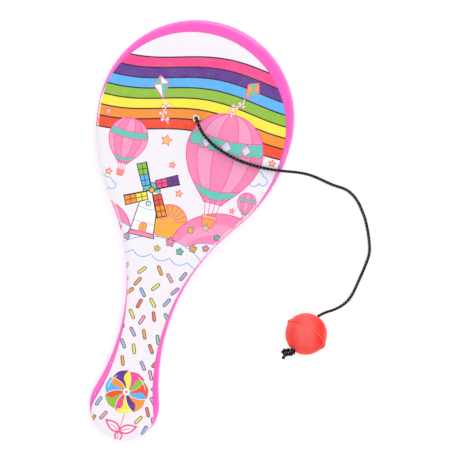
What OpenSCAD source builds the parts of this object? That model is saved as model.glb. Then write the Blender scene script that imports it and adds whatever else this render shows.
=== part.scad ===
// Paddle ball game, lying face up: a moulded paddle with a ribbed hollow back, the printed
// label on its face, and a rubber ball on an elastic cord that is knotted at both ends.
// Millimetres. Z is up and the rim of the paddle's back lies on Z = 0. The origin is on the
// axis of the cord's hole, in the middle of the head, and the handle runs along -Y.

/* [Paddle outline] */
// Radius of the round upper half of the head
head_r = 52.4; // [46:0.2:60]
// Radius of the long arcs that draw the lower half of the head in
side_r = 84; // [76:1:96]
// Radius of the hollow arcs where the head runs into the handle
neck_r = 105; // [85:1:125]
// Width of the handle at its narrowest
neck_w = 24.4; // [20:0.2:29]
// Radius of the handle's round end
end_r = 18.7; // [16.5:0.1:22]
// Length from the cord's hole to the end of the handle
reach = 175.6; // [168:0.2:190]

/* [Paddle moulding] */
// Thickness of the paddle from the rim of its back to its face
thick = 8; // [7.4:0.1:11]
// Thickness of the face
face_t = 2.2; // [1.6:0.1:2.4]
// Thickness of the wall round the edge
wall_t = 1.8; // [1.2:0.1:3]
// Radius of the rounded front edge
edge_r = 3; // [1.5:0.1:4]
// How far the wall leans in from the rim to the front edge, so that it leaves its mould
draft = 0.3; // [0:0.05:0.6]
// Thickness of each rib
rib_t = 1.4; // [0.8:0.1:2]
// How far the ribs stop short of the rim
rib_gap = 0.5; // [0.2:0.1:1.5]
// Distance from one ring of the head's ribs to the next
ring_pitch = 17.5; // [15:0.5:20]
// Distance from the cord's hole to the first rib across the handle
cross_from = 60; // [52:1:70]
// Distance from one rib across the handle to the next
cross_pitch = 15; // [12:0.5:20]
// Inner radius of the well in the back that holds the cord's knot
well_r = 5.6; // [5:0.1:8]
// How far the seat of the knot stands out below the back of the face
seat_h = 0.6; // [0.2:0.1:0.8]

/* [Face label] */
// Thickness of the label
label_t = 0.2; // [0.1:0.05:0.3]
// How far the label was cut inside the outline of the paddle
label_inset = 1.8; // [1:0.1:4]
// How far the label was laid off centre towards the left
label_left = 0.3; // [0:0.1:1.5]
// How far the label was laid down towards the handle
label_down = 4.5; // [0:0.1:5]
// Angle that the label was laid askew, turned about the end of the handle
label_turn = 0.56; // [0:0.01:1]
// Thickness of the glue under the label
glue_t = 0.08; // [0.06:0.01:0.15]
// Radius of the hole punched in the label for the cord
punch_r = 1.3; // [1:0.1:2.5]

/* [Ball] */
// Diameter of the ball
ball_d = 22.2; // [18:0.2:26]
// How much smaller the half of the ball nearest the knot came out of its mould
half_step = 0.12; // [0:0.02:0.3]
// How far the flash at the mould's seam stands out
flash_h = 0.3; // [0.1:0.05:0.5]
// Width of the flash at its foot
flash_w = 1.5; // [0.6:0.1:2.5]
// Width of the chamfer at each mouth of the bore
mouth_w = 0.5; // [0.2:0.1:1]
// Direction in which the cord leaves the ball, seen from above
ball_turn = 68; // [60:1:76]
// Angle by which the cord's way out of the ball dips
ball_dip = 21.5; // [10:0.5:30]

/* [Cord] */
// Diameter of the elastic cord
cord_d = 1.6; // [1.2:0.1:2]
// Clearance round the cord in its holes
cord_clear = 0.1; // [0.05:0.01:0.3]
// How deep in the ball's bore the free stretch of the cord is told apart from its end
meet_depth = 8; // [7:0.5:10]
// Thickness of the middle lump of a knot
knot_d = 4; // [3.4:0.1:4.2]
// Distance from one lump of a knot to the next
knot_pitch = 1.8; // [1.5:0.1:2]
// Clearance between a knot and what it seats on
knot_clear = 0.3; // [0.2:0.05:0.5]
// Angle by which the ball's knot leans over from the line of the bore
knot_lean = 42; // [30:1:50]
// Direction in which it leans, turned about the bore
knot_side = 290; // [270:1:310]
// Length of the cut tail of a knot
tail_l = 3; // [2:0.1:4]

/* [Hidden] */

$fn = 64;
// Cuts run past the faces that they go through by this much
over = 1;
cord_sides = 8;
// Steps along each arc of the outline, from the upper half of the head to the handle's end
top_steps = 40;
side_steps = 10;
neck_steps = 10;
grip_steps = 8;
end_steps = 28;
edge_steps = 4;
label_steps = 8;

pink = [0.98, 0.42, 0.72];
label_white = [0.98, 0.94, 0.98];
coral = [0.93, 0.32, 0.27];
cord_black = [0.09, 0.09, 0.1];

// Every arc of the outline is tangent to the next. The side arcs are centred level with the
// cord's hole, and both pairs of hollow arcs level with the narrowest part of the handle.
neck_half = neck_w / 2;
side_off = side_r - head_r;
neck_x = neck_half + neck_r;
neck_y = sqrt(pow(neck_r + side_r, 2) - pow(neck_x + side_off, 2));
side_turn = asin(neck_y / (neck_r + side_r));
end_y = reach - end_r;
grip_l = end_y - neck_y;
grip_r = (pow(grip_l, 2) + pow(neck_half, 2) - pow(end_r, 2)) / (2 * (end_r - neck_half));
grip_x = neck_half + grip_r;
grip_turn = atan2(grip_l, grip_x);

cord_r = cord_d / 2;
hole_r = cord_r + cord_clear;
face_top = thick + glue_t + label_t;
// How far in from its cut edge the label may follow the paddle's rounded edge
label_bend = min(
  edge_r + draft + label_down + label_left + end_y * sin(label_turn) - label_inset,
  neck_half - label_inset - over);
pocket_h = thick - face_t;
seat_z = pocket_h - seat_h;

ball_r = ball_d / 2;
ball_at = [84.2, -96.8, ball_r];
// The way out of the ball, and the same in the ball's own frame, whose +Z points to the knot
way_out = [cos(ball_turn) * cos(ball_dip), sin(ball_turn) * cos(ball_dip), -sin(ball_dip)];
lump_shares = [0.42, 0.5, 0.42];
lump_rs = lump_shares * knot_d;
knot_end = knot_pitch + lump_rs[0];

// Where the free cord runs: up out of the paddle's hole, over in a bend, along the face, off
// its edge to the table and round to the ball. A first and a last stretch are added to it.
route = [
  [0, 0, 9.4], [0.2, -0.2, 11], [1, -1.3, 12.7], [2.5, -3.2, 13.5], [4.5, -5.4, 13.1],
  [6.7, -7.5, 11.9], [9.5, -9.6, 10.4], [12.5, -11.4, 9.6], [18, -13.5, 9.4], [25, -15.5, 9.4],
  [32.5, -16.5, 9.4], [40.5, -16.5, 9.4], [48, -16, 9.4], [53, -15.5, 8.8], [57.5, -15, 6.9],
  [62, -14.5, 4.1], [66.5, -14.5, 1.9], [71, -15, 1], [78.5, -16.3, 0.9], [86, -17, 0.9],
  [90.5, -19, 0.9], [94.5, -22, 0.9], [98, -26, 0.9], [101, -30.5, 0.9], [104.5, -38, 0.9],
  [107, -46.5, 0.9], [106.5, -54, 0.9], [105.3, -62, 0.9], [104, -69, 0.9], [102, -74, 1.1],
  [99, -78, 2.1], [95.5, -81, 3.5], [92, -83, 4.9]
];
// Length of the free cord that lies straight at the ball, and rings from one point to the next
lead_out = 2.6;
route_steps = 2;

function unit(v) = v / norm(v);

// The points of an arc from angle a to angle b, without its last point
function arc(c, r, a, b, steps) =
  [for (i = [0 : steps - 1]) let (t = a + (b - a) * i / steps) c + r * [cos(t), sin(t)]];

// The paddle's outline drawn in by the distance d, the same count of points for any d
function outline(d) = concat(
  arc([0, 0], head_r - d, 0, 180, top_steps),
  arc([side_off, 0], side_r - d, 180, 180 + side_turn, side_steps),
  arc([-neck_x, -neck_y], neck_r + d, side_turn, 0, neck_steps),
  arc([-grip_x, -neck_y], grip_r + d, 0, -grip_turn, grip_steps),
  arc([0, -end_y], end_r - d, 180 - grip_turn, 360 + grip_turn, end_steps),
  arc([grip_x, -neck_y], grip_r + d, 180 + grip_turn, 180, grip_steps),
  arc([neck_x, -neck_y], neck_r + d, 180, 180 - side_turn, neck_steps),
  arc([-side_off, 0], side_r - d, -side_turn, 0, side_steps)
);

// How far in and how high each ring of the moulding lies, for a skin grown out by g
function levels(g) = concat(
  [[-g, 0]],
  [for (k = [0 : edge_steps]) let (t = 90 * k / edge_steps)
    [draft + edge_r - (edge_r + g) * cos(t), thick - edge_r + (edge_r + g) * sin(t)]]
);

// The faces between rings that all have n points
function band_faces(n, rings) = [for (k = [0 : rings - 2], i = [0 : n - 1])
  [k * n + i, (k + 1) * n + i, (k + 1) * n + (i + 1) % n, k * n + (i + 1) % n]];

function reversed(list) = [for (i = [len(list) - 1 : -1 : 0]) list[i]];

// The faces across one ring of the outline, in strips from each left point to its right twin
function strips(n, first) = [for (k = [0 : n / 2 - 1])
  let (
    top = top_steps / 2,
    left = [top + k, top + k + 1],
    right = k == 0 ? [top - 1] : k == n / 2 - 1 ? [top - k] : [top - k - 1, top - k]
  )
  [for (i = concat(left, right)) first + (i + n) % n]];

// One closed skin through rings of the outline, the lowest first
function outline_skin(n, rings) = concat(
  strips(n, 0),
  band_faces(n, rings),
  [for (f = strips(n, (rings - 1) * n)) reversed(f)]
);

// The outside of the paddle, or of the same shape grown out by g
module moulding(g = 0) {
  stack = levels(g);
  points = [for (level = stack) for (p = outline(level[0])) [p[0], p[1], level[1]]];
  polyhedron(points, outline_skin(len(outline(0)), len(stack)));
}

// A rib from one radius to another, along +X
module rib(from, to) {
  translate([from, -rib_t / 2]) square([to - from, rib_t]);
}

module ring(inner) {
  difference() {
    circle(inner + rib_t);
    circle(inner);
  }
}

// Ribs of the head in three zones round the well, with 6, 12 and 18 ribs. Those of the last
// zone run out to the wall, or down to the first rib across the handle.
module head_ribs() {
  zone_rs = [well_r, ring_pitch, 2 * ring_pitch, side_r];
  for (zone = [1 : 3], i = [0 : 6 * zone - 1]) {
    intersection() {
      rotate(-90 + 60 * i / zone) rib(zone_rs[zone - 1] + rib_t / 2, zone_rs[zone] + rib_t / 2);
      translate([-side_r, -cross_from]) square([2 * side_r, cross_from + side_r]);
    }
  }
  for (k = [1 : 2]) ring(k * ring_pitch);
}

// The spine of the handle and the ribs across it
module handle_ribs() {
  rotate(-90) rib(2 * ring_pitch + rib_t / 2, reach);
  for (y = [cross_from : cross_pitch : reach - cross_pitch / 2]) {
    translate([0, -y]) rib(-side_r, side_r);
  }
}

// The pockets between the ribs, which open at the back
module pockets() {
  difference() {
    polygon(outline(wall_t));
    circle(well_r + rib_t);
    head_ribs();
    handle_ribs();
  }
}

module paddle() {
  color(pink)
  difference() {
    moulding();
    translate([0, 0, -over]) linear_extrude(over + rib_gap) polygon(outline(wall_t));
    translate([0, 0, -over]) linear_extrude(over + pocket_h) pockets();
    translate([0, 0, -over]) cylinder(r = well_r, h = over + seat_z);
    translate([0, 0, -over]) cylinder(r = hole_r, h = thick + 2 * over);
  }
}

// How far inside the paddle's outline a point lies, and the way from it to the nearest edge
function edge_near(p) =
  let (
    q = [abs(p[0]), p[1]],
    from_side = q + [side_off, 0],
    from_neck = q - [neck_x, -neck_y],
    from_grip = q - [grip_x, -neck_y],
    from_end = q + [0, end_y],
    hit =
      q[1] >= 0 ? [head_r - norm(q), q] :
      atan2(-from_side[1], from_side[0]) <= side_turn ? [side_r - norm(from_side), from_side] :
      q[1] >= -neck_y ? [norm(from_neck) - neck_r, -from_neck] :
      atan2(-from_grip[1], -from_grip[0]) <= grip_turn ? [norm(from_grip) - grip_r, -from_grip] :
      [end_r - norm(from_end), from_end],
    out = unit(hit[1])
  )
  [hit[0], [p[0] < 0 ? -out[0] : out[0], out[1]]];

// Where a point of the flat label comes to lie, h above the moulding: on the face, round its
// front edge, or down its wall
function laid(p, h) =
  let (
    near = edge_near(p), out = near[1],
    past = draft + edge_r - near[0],
    bend = min(past / edge_r * 180 / PI, 90),
    drop = max(past - edge_r * PI / 2, 0),
    reach_out = (edge_r + h) * sin(bend) + draft * drop / (thick - edge_r),
    foot = p - past * out
  )
  past <= 0 ? [p[0], p[1], thick + h] :
  [foot[0] + reach_out * out[0], foot[1] + reach_out * out[1],
    thick - edge_r + (edge_r + h) * cos(bend) - drop];

// A point of the label's own outline, laid on a little low and askew
function placed(p) =
  let (q = p + [0, end_y])
  [cos(label_turn) * q[0] - sin(label_turn) * q[1] - label_left,
   sin(label_turn) * q[0] + cos(label_turn) * q[1] - end_y - label_down];

// The sheet runs from its flat middle out to its cut edge beneath, and back in on top
module face_label() {
  steps_in = [for (k = [label_steps : -1 : 0]) label_inset + label_bend * k / label_steps];
  steps_out = [for (k = [0 : label_steps]) label_inset + label_bend * k / label_steps];
  points = concat(
    [for (d = steps_in) for (p = outline(d)) laid(placed(p), glue_t)],
    [for (d = steps_out) for (p = outline(d)) laid(placed(p), glue_t + label_t)]
  );
  color(label_white)
  difference() {
    polyhedron(points, outline_skin(len(outline(0)), len(steps_in) + len(steps_out)));
    translate([0, 0, thick - over]) cylinder(r = punch_r, h = 2 * over);
  }
}

// Places what is drawn in the ball's own frame: centre at the origin and +Z to the knot
module at_ball() {
  translate(ball_at) rotate([0, 90 - ball_dip, ball_turn + 180]) children();
}

// Half of the ball's section, from the seam up
module half_section(r) {
  difference() {
    intersection() {
      circle(r);
      square(r + over);
    }
    square([hole_r, r + over]);
    polygon([
      [hole_r - over, r - mouth_w - over], [hole_r, r - mouth_w],
      [hole_r + mouth_w + over, r + over], [hole_r - over, r + over]
    ]);
  }
}

module ball() {
  color(coral)
  at_ball() rotate_extrude() {
    half_section(ball_r - half_step);
    mirror([0, 1]) half_section(ball_r);
    polygon([
      [ball_r - over, -flash_w / 2], [ball_r + flash_h, -flash_w / 4],
      [ball_r + flash_h, flash_w / 4], [ball_r - over, flash_w / 2]
    ]);
  }
}

// A knot of three lumps in a row, along +Z from its first lump's middle
module knot() {
  rotate_extrude()
    intersection() {
      translate([0, -knot_end]) square([knot_d, 2 * knot_pitch + 2 * knot_end]);
      for (i = [0 : 2]) translate([0, i * knot_pitch]) circle(lump_rs[i]);
    }
}

// A cut end of the cord, along +Z
module tail() {
  cylinder(r = cord_r, h = tail_l + lump_rs[0]);
}

// The cord's end in the paddle: the run through the face, and the knot in its well
module back_knot() {
  mid_z = seat_z - knot_clear - knot_d / 2;
  color(cord_black) {
    translate([0, 0, mid_z]) cylinder(r = cord_r, h = face_top - mid_z);
    translate([-knot_pitch, 0, mid_z]) rotate([0, 90, 0]) knot();
  }
}

// The cord's end in the ball: the run through the bore, the knot over its mouth and the tail
module ball_knot() {
  meet_z = meet_depth - ball_r;
  first_s = lump_rs[0] + knot_clear + cord_r;
  color(cord_black)
  at_ball() {
    translate([0, 0, meet_z]) cylinder(r = cord_r, h = ball_r + cord_d - meet_z);
    translate([0, 0, ball_r]) rotate([0, knot_lean, knot_side]) {
      translate([0, 0, first_s]) knot();
      translate([0, 0, first_s + 2 * knot_pitch]) rotate([0, -90, 0]) tail();
    }
  }
}

// A smooth line through the points, with steps rings from one point to the next
function spline_at(p, i, t) =
  let (
    a = p[max(i - 1, 0)], b = p[i], c = p[i + 1], d = p[min(i + 2, len(p) - 1)]
  )
  (2 * b + t * (c - a) + t * t * (2 * a - 5 * b + 4 * c - d) + t * t * t * (3 * b - a - 3 * c + d)) / 2;
function smooth(p, steps) = concat(
  [for (i = [0 : len(p) - 2], k = [0 : steps - 1]) spline_at(p, i, k / steps)],
  [p[len(p) - 1]]
);

// The direction of the line at each of its points
function headings(p) = [for (i = [0 : len(p) - 1])
  unit(p[min(i + 1, len(p) - 1)] - p[max(i - 1, 0)])];

// A side direction carried along the line from the one before, so that the tube doesn't twist
function carried(side, way) = unit(side - (side * way) * way);
function sides_along(ways, side) = [for (i = 0, s = carried(side, ways[0]); i < len(ways);
  i = i + 1, s = i < len(ways) ? carried(s, ways[i]) : s) s];

// A round tube along the points
module tube(p, r, first_side) {
  ways = headings(p);
  sides = sides_along(ways, first_side);
  points = [for (i = [0 : len(p) - 1], k = [0 : cord_sides - 1])
    let (t = 360 * (k + 0.5) / cord_sides)
    p[i] + r * (cos(t) * sides[i] + sin(t) * cross(ways[i], sides[i]))];
  last = (len(p) - 1) * cord_sides;
  polyhedron(points, concat(
    [[for (k = [0 : cord_sides - 1]) k]],
    band_faces(cord_sides, len(p)),
    [[for (k = [cord_sides - 1 : -1 : 0]) last + k]]
  ));
}

module cord() {
  start = [[0, 0, face_top]];
  exit = ball_at + ball_r * way_out;
  finish = [exit + lead_out * way_out, exit, exit - meet_depth * way_out];
  color(cord_black) tube(smooth(concat(start, route, finish), route_steps), cord_r, [1, 0, 0]);
}

paddle();
face_label();
cord();
back_knot();
ball();
ball_knot();
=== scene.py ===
import math
import random

import bmesh
import bpy
from mathutils import Matrix, Vector
from mathutils.geometry import delaunay_2d_cdt


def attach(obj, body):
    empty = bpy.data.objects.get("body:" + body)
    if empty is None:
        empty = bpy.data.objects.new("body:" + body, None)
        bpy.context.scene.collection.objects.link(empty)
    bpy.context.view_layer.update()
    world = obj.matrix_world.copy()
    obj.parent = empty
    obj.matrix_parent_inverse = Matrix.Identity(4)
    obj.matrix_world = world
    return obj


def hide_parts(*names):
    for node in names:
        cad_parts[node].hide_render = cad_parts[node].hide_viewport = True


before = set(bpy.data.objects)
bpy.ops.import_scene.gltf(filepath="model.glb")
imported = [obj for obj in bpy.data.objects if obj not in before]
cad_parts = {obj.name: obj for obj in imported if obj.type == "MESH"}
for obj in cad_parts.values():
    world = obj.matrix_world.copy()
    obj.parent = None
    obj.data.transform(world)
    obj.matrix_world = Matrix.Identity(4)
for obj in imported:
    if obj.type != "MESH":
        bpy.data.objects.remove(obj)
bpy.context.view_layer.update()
mm = 0.001
random.seed(7)


def startClean():
    if bpy.context.object and bpy.context.object.mode != "OBJECT":
        bpy.ops.object.mode_set(mode="OBJECT")
    bpy.ops.object.select_all(action="DESELECT")


def pickOnly(piece):
    startClean()
    piece.select_set(True)
    bpy.context.view_layer.objects.active = piece


def linear(red, green, blue):
    def one(value):
        value /= 255
        return value / 12.92 if value <= 0.04045 else ((value + 0.055) / 1.055) ** 2.4
    return (one(red), one(green), one(blue), 1.0)


def unit(angle):
    return Vector((math.cos(angle), math.sin(angle)))


def newPiece(name, points, faces):
    mesh = bpy.data.meshes.new(name)
    mesh.from_pydata([tuple(p) for p in points], [], faces)
    mesh.validate()
    piece = bpy.data.objects.new(name, mesh)
    bpy.context.collection.objects.link(piece)
    return piece


# the camera looks straight down and is turned against the paddle
shot = {
    "aim": (0.0318, -0.05314, 0.004),
    "distance": 3.0,
    "roll": 14.03,          # degrees
    "seenWidth": 0.24407,   # of the picture, at the aim
    "sensor": 36,           # millimetres
    "nearest": 0.01,        # what it still sees
}

startClean()
bpy.ops.object.camera_add(
    location=(shot["aim"][0], shot["aim"][1], shot["aim"][2] + shot["distance"]),
    rotation=(0, 0, math.radians(shot["roll"])),
)
camera = bpy.context.object
camera.name = "camera"
camera.data.sensor_width = shot["sensor"]
camera.data.lens = shot["sensor"] * shot["distance"] / shot["seenWidth"]
camera.data.clip_start = shot["nearest"]
bpy.context.scene.camera = camera
print("camera ready")


# the elastic cord is a braid over its core
cordShape = {
    "diameter": 1.6 * mm,
    "sides": 24,
    "step": 0.2 * mm,
    "curveSteps": 8,       # from one point of the route to the next
    "strands": 4,          # that run each way round
    "pitch": 7.6 * mm,     # length in which a strand goes once round
    "crown": 0.07 * mm,    # how far a strand's crown stands out past the nominal radius
    "crownPower": 0.6,     # below 1 the strands are broad on top, with narrow gaps
    "relief": 0.17 * mm,   # depth of the gaps under the crowns
    "meetDepth": 8 * mm,   # how deep in the ball the free cord meets its end
    "leadOut": 1.8 * mm,   # straight stretch out of the ball
    "slackAt": 0.022,      # where it is fullest, just out of the hole, as a share of its length
    "slackReach": 0.013,   # how far that fades, as a share of its length
    "slackShare": 0.14,    # how much fuller it is there
    "tautFrom": 0.25,      # where it leaves the paddle and slims, as a share of its length
    "tautReach": 0.05,
    "tautShare": 0.08,     # how much slimmer it is from there on
}
ballPlace = {
    "centre": Vector((84.2, -96.8, 11.1)) * mm,
    "radius": 11.1 * mm,
    "turn": math.radians(68),       # which way the cord leaves it
    "dip": math.radians(21.5),      # and how steeply down
}
faceTop = 8.28 * mm     # the label's face over the table
wayOut = Vector((
    math.cos(ballPlace["turn"]) * math.cos(ballPlace["dip"]),
    math.sin(ballPlace["turn"]) * math.cos(ballPlace["dip"]),
    -math.sin(ballPlace["dip"]),
))
ballMatrix = (
    Matrix.Translation(ballPlace["centre"])
    @ Matrix.Rotation(ballPlace["turn"] + math.pi, 4, "Z")
    @ Matrix.Rotation(math.pi / 2 - ballPlace["dip"], 4, "Y")
)

# the cord's way over the paddle, down to the table and round to the ball, in mm
cordRoute = [
    (0, 0, 9.4), (0.2, -0.2, 11), (0.9, -1.4, 12.7), (2.3, -3.4, 13.5), (4.2, -5.7, 13.1),
    (6.4, -7.8, 11.9), (9.3, -9.8, 10.4), (12.4, -11.6, 9.6), (17.9, -13.8, 9.4),
    (24.9, -15.8, 9.4), (32.5, -16.8, 9.4), (40.5, -17, 9.4), (48, -16.5, 9.4), (53, -15.8, 8.8),
    (57.5, -15.1, 6.9), (62, -14.6, 4.1), (66.5, -14.6, 1.9), (71, -15.2, 0.95),
    (78.5, -16.6, 0.82), (85.9, -17.3, 0.82), (90.4, -19.2, 0.82), (94.2, -22.3, 0.82),
    (97.5, -26.4, 0.82), (100.4, -30.8, 0.82), (103.9, -38.2, 0.82), (106.5, -46.5, 0.82),
    (106.1, -54, 0.82), (104.8, -61.9, 0.82), (103.5, -68.9, 0.82), (101.8, -73.9, 1.05),
    (98.9, -77.9, 2.1), (95.4, -80.9, 3.5), (92, -83, 4.9),
]


def smoothLine(points, steps):
    # a smooth curve through the points
    points = [Vector(p) for p in points]
    line = []
    last = len(points) - 1
    for i in range(last):
        a, b = points[max(i - 1, 0)], points[i]
        c, d = points[i + 1], points[min(i + 2, last)]
        for k in range(steps):
            t = k / steps
            line.append((2 * b + t * (c - a) + t * t * (2 * a - 5 * b + 4 * c - d)
                         + t * t * t * (3 * b - a - 3 * c + d)) / 2)
    line.append(points[last])
    return line


def evenLine(points, step):
    # the same line with its points a step apart, and its length
    lengths = [0.0]
    for a, b in zip(points, points[1:]):
        lengths.append(lengths[-1] + (b - a).length)
    count = max(2, round(lengths[-1] / step))
    line, k = [], 0
    for i in range(count + 1):
        s = lengths[-1] * i / count
        while k < len(points) - 2 and lengths[k + 1] < s:
            k += 1
        t = (s - lengths[k]) / max(lengths[k + 1] - lengths[k], 1e-9)
        line.append(points[k].lerp(points[k + 1], min(max(t, 0), 1)))
    return line, lengths[-1]


def waysAcross(line):
    # two ways across the line at each point, carried along it without a twist
    ways, side = [], None
    for i in range(len(line)):
        heading = (line[min(i + 1, len(line) - 1)] - line[max(i - 1, 0)]).normalized()
        side = heading.orthogonal() if side is None else side
        side = (side - side.dot(heading) * heading).normalized()
        ways.append((side, heading.cross(side)))
    return ways


def braidHeight(turn, along):
    # 1 on the crown of a strand and 0 in the gaps, and whether the first strand is on top, which
    # takes the painted highlight
    first = cordShape["strands"] * (turn + along / cordShape["pitch"])
    second = cordShape["strands"] * (turn - along / cordShape["pitch"])
    i, j = math.floor(first), math.floor(second)
    firstOnTop = (i + j) % 2 == 1
    across, running = (first - i, second - j) if firstOnTop else (second - j, first - i)
    crown = max(0, math.sin(math.pi * across)) ** cordShape["crownPower"]
    return crown * (0.5 + 0.5 * math.sin(math.pi * running)), firstOnTop


def braidedTube(name, path, radiusAt, startAlong=0.0, step=None):
    # a closed tube with its strands in relief, and its length
    line, length = evenLine(path, step or cordShape["step"])
    sides = cordShape["sides"]
    points, heights, crownHighlights, uvs = [], [], [], []
    for i, (here, (side, other)) in enumerate(zip(line, waysAcross(line))):
        along = startAlong + length * i / (len(line) - 1)
        radius = radiusAt(i / (len(line) - 1))
        for k in range(sides):
            turn = k / sides
            high, firstOnTop = braidHeight(turn, along)
            reach = radius + cordShape["crown"] - cordShape["relief"] * (1 - high)
            spread = math.cos(2 * math.pi * turn) * side + math.sin(2 * math.pi * turn) * other
            points.append(here + reach * spread)
            heights.append(high)
            crownHighlights.append(high if firstOnTop else 0.0)
            uvs.append((turn, along / (2 * math.pi * radius)))
    faces = []
    for i in range(len(line) - 1):
        for k in range(sides):
            a, b = i * sides + k, i * sides + (k + 1) % sides
            faces.append((a, b, b + sides, a + sides))
    tips = [len(points), len(points) + 1]
    points += [line[0], line[-1]]
    heights += [0.0, 0.0]
    crownHighlights += [0.0, 0.0]
    uvs += [(0, uvs[0][1]), (0, uvs[-1][1])]
    end = (len(line) - 1) * sides
    for k in range(sides):
        faces.append((tips[0], (k + 1) % sides, k))
        faces.append((tips[1], end + k, end + (k + 1) % sides))
    piece = newPiece(name, points, faces)
    mesh = piece.data
    height = mesh.attributes.new("strandHeight", "FLOAT", "POINT")
    height.data.foreach_set("value", heights)
    highlightLayer = mesh.attributes.new("crownHighlight", "FLOAT", "POINT")
    highlightLayer.data.foreach_set("value", crownHighlights)
    layer = mesh.uv_layers.new(name="aroundAndAlong")
    for face in mesh.polygons:
        seam = {v % sides for v in face.vertices if v < end + sides} >= {0, sides - 1}
        for loop in face.loop_indices:
            v = mesh.loops[loop].vertex_index
            u = uvs[v][0]
            if seam and v < end + sides and v % sides == 0:
                u = 1.0
            layer.data[loop].uv = (u, uvs[v][1])
    mesh.polygons.foreach_set("use_smooth", [True] * len(mesh.polygons))
    return piece, length


cordRadius = cordShape["diameter"] / 2
ballExit = ballPlace["centre"] + ballPlace["radius"] * wayOut
cordPoints = (
    [Vector((0, 0, faceTop))]
    + [Vector(p) * mm for p in cordRoute]
    + [ballExit + reach * wayOut for reach in (cordShape["leadOut"], 0, -cordShape["meetDepth"])]
)
cordLine = smoothLine(cordPoints, cordShape["curveSteps"])


def cordGirth(t):
    # fuller where it lies slack out of the hole, slimmer where it is drawn taut to the ball
    slack = math.exp(-((t - cordShape["slackAt"]) / cordShape["slackReach"]) ** 2)
    taut = min(max((t - cordShape["tautFrom"]) / cordShape["tautReach"], 0), 1)
    return cordRadius * (1 + cordShape["slackShare"] * slack - cordShape["tautShare"] * taut)


freeCord, cordLength = braidedTube("elasticCord", cordLine, cordGirth)
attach(freeCord, "tether")
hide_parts("cord")
print("cord laid, length", round(cordLength / mm, 1), "mm")


# each knot is a core with the cord wound back round it and a cut tail
knotShape = {
    "girth": 0.97,          # of the cord's radius, because it is drawn tight
    "wrapRadius": 1.38 * mm,
    "fuller": 0.22,         # how much wider the wraps are at the far end
    "coreStep": 0.8 * mm,
    "coreShort": 1.2 * mm,  # how far the straight core stops short of where the cord turns back
    # the cord's climb out to the wraps: along, angle, share of their radius
    "climb": ((-0.3 * mm, -1.9, 0.24), (0.12 * mm, -0.95, 0.66)),
    "tuck": 0.5 * mm,       # how far under its own turns the end dives
    "tuckAngles": (0.9, 1.2),
    "tuckShare": 0.35,
    "outShort": 1.4 * mm,   # how far short of the turn the end comes out
    "tailLength": 1.9 * mm,
    "cutShare": 0.018,      # of the length, which flares where the tail is cut
    "cutFlare": 0.16,
    "step": 0.16 * mm, "coreFine": 0.1 * mm,
    "turnSteps": 10, "curveSteps": 6,
}


def knotLine(core, knot, start=0.0):
    # core: a smooth line into the knot. The cord turns back at wrapEnd and winds round the core
    # to wrapStart, then runs under its own turns and out as the tail. The turns lean along tilt.
    core, length = evenLine(core, knotShape["coreFine"])
    across = waysAcross(core)

    def coreSpot(s):
        return min(max(round(s / length * (len(core) - 1)), 0), len(core) - 1)

    wrap, first, tailWay = knotShape["wrapRadius"], knot["first"], knot["tailWay"]
    wrapEnd, wrapStart = start + knot["wrapEnd"], start + knot["wrapStart"]

    def around(s, angle, radius):
        side, other = across[coreSpot(s)]
        way = math.cos(angle) * side + math.sin(angle) * other
        return core[coreSpot(s + knot["tilt"].dot(way) * radius / wrap)] + radius * way

    straight = int((wrapEnd - knotShape["coreShort"]) / knotShape["coreStep"])
    points = [around(knotShape["coreStep"] * k, 0, 0) for k in range(straight + 1)]
    points += [around(wrapEnd + along, first + angle, share * wrap)
               for along, angle, share in knotShape["climb"]]
    steps = round(knot["turns"] * knotShape["turnSteps"])
    for k in range(steps + 1):
        t = k / steps
        points.append(around(
            wrapEnd - (wrapEnd - wrapStart) * t, first + 2 * math.pi * knot["turns"] * t,
            wrap * (1 + knotShape["fuller"] * (0.5 - t))))
    last = first + 2 * math.pi * knot["turns"]
    for s, angle in zip((wrapStart + knotShape["tuck"], (wrapStart + wrapEnd) / 2),
                        knotShape["tuckAngles"]):
        points.append(around(s, last + angle, knotShape["tuckShare"] * wrap))
    out = around(wrapEnd - knotShape["outShort"], 0, 0)
    points += [out + 0.5 * wrap * tailWay, out + 1.5 * wrap * tailWay]
    tip = points[-1]
    points += [tip + share * knotShape["tailLength"] * tailWay for share in (0.35, 0.7, 1.0)]
    return smoothLine(points, knotShape["curveSteps"])


def knotRadius(t):
    cut = max(0.0, (t - 1 + knotShape["cutShare"]) / knotShape["cutShare"])
    return cordRadius * (knotShape["girth"] + knotShape["cutFlare"] * cut)


# in the ball the end runs through the bore and out of its mouth, where the knot leans over
ballKnot = {
    "side": math.radians(290), "lean": math.radians(42),
    "wrapEnd": 6.6 * mm, "wrapStart": 1.5 * mm,
    "turns": 3.1, "first": 0.5,
    "tilt": Vector((-0.13, 0.53, 0)) * mm,
    "tailWay": Vector((-0.22, -0.97, -0.12)).normalized(),
}
ballAxis = -wayOut
leanTurn = (Matrix.Rotation(ballKnot["side"], 4, "Z")
            @ Matrix.Rotation(ballKnot["lean"], 4, "Y")).to_3x3()
knotAxis = ballMatrix.to_3x3() @ leanTurn @ Vector((0, 0, 1))
mouth = ballPlace["centre"] + ballPlace["radius"] * ballAxis
meet = ballPlace["centre"] - (ballPlace["radius"] - cordShape["meetDepth"]) * ballAxis
ballCore = smoothLine(
    [meet, ballPlace["centre"]]
    + [mouth + (straight * ballAxis + leant * knotAxis) * mm for straight, leant in (
        (-4, 0), (0, 0), (1.5, 0), (0.45, 2.78), (0, 4.58), (0, 6.4), (0, 8))], 8)
throughBall = 2 * ballPlace["radius"] - cordShape["meetDepth"]
endKnot, _ = braidedTube("ballEndKnot", knotLine(ballCore, ballKnot, throughBall),
                         knotRadius, cordLength, knotShape["step"])
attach(endKnot, "cord_end")
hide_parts("ball_knot")

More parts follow.
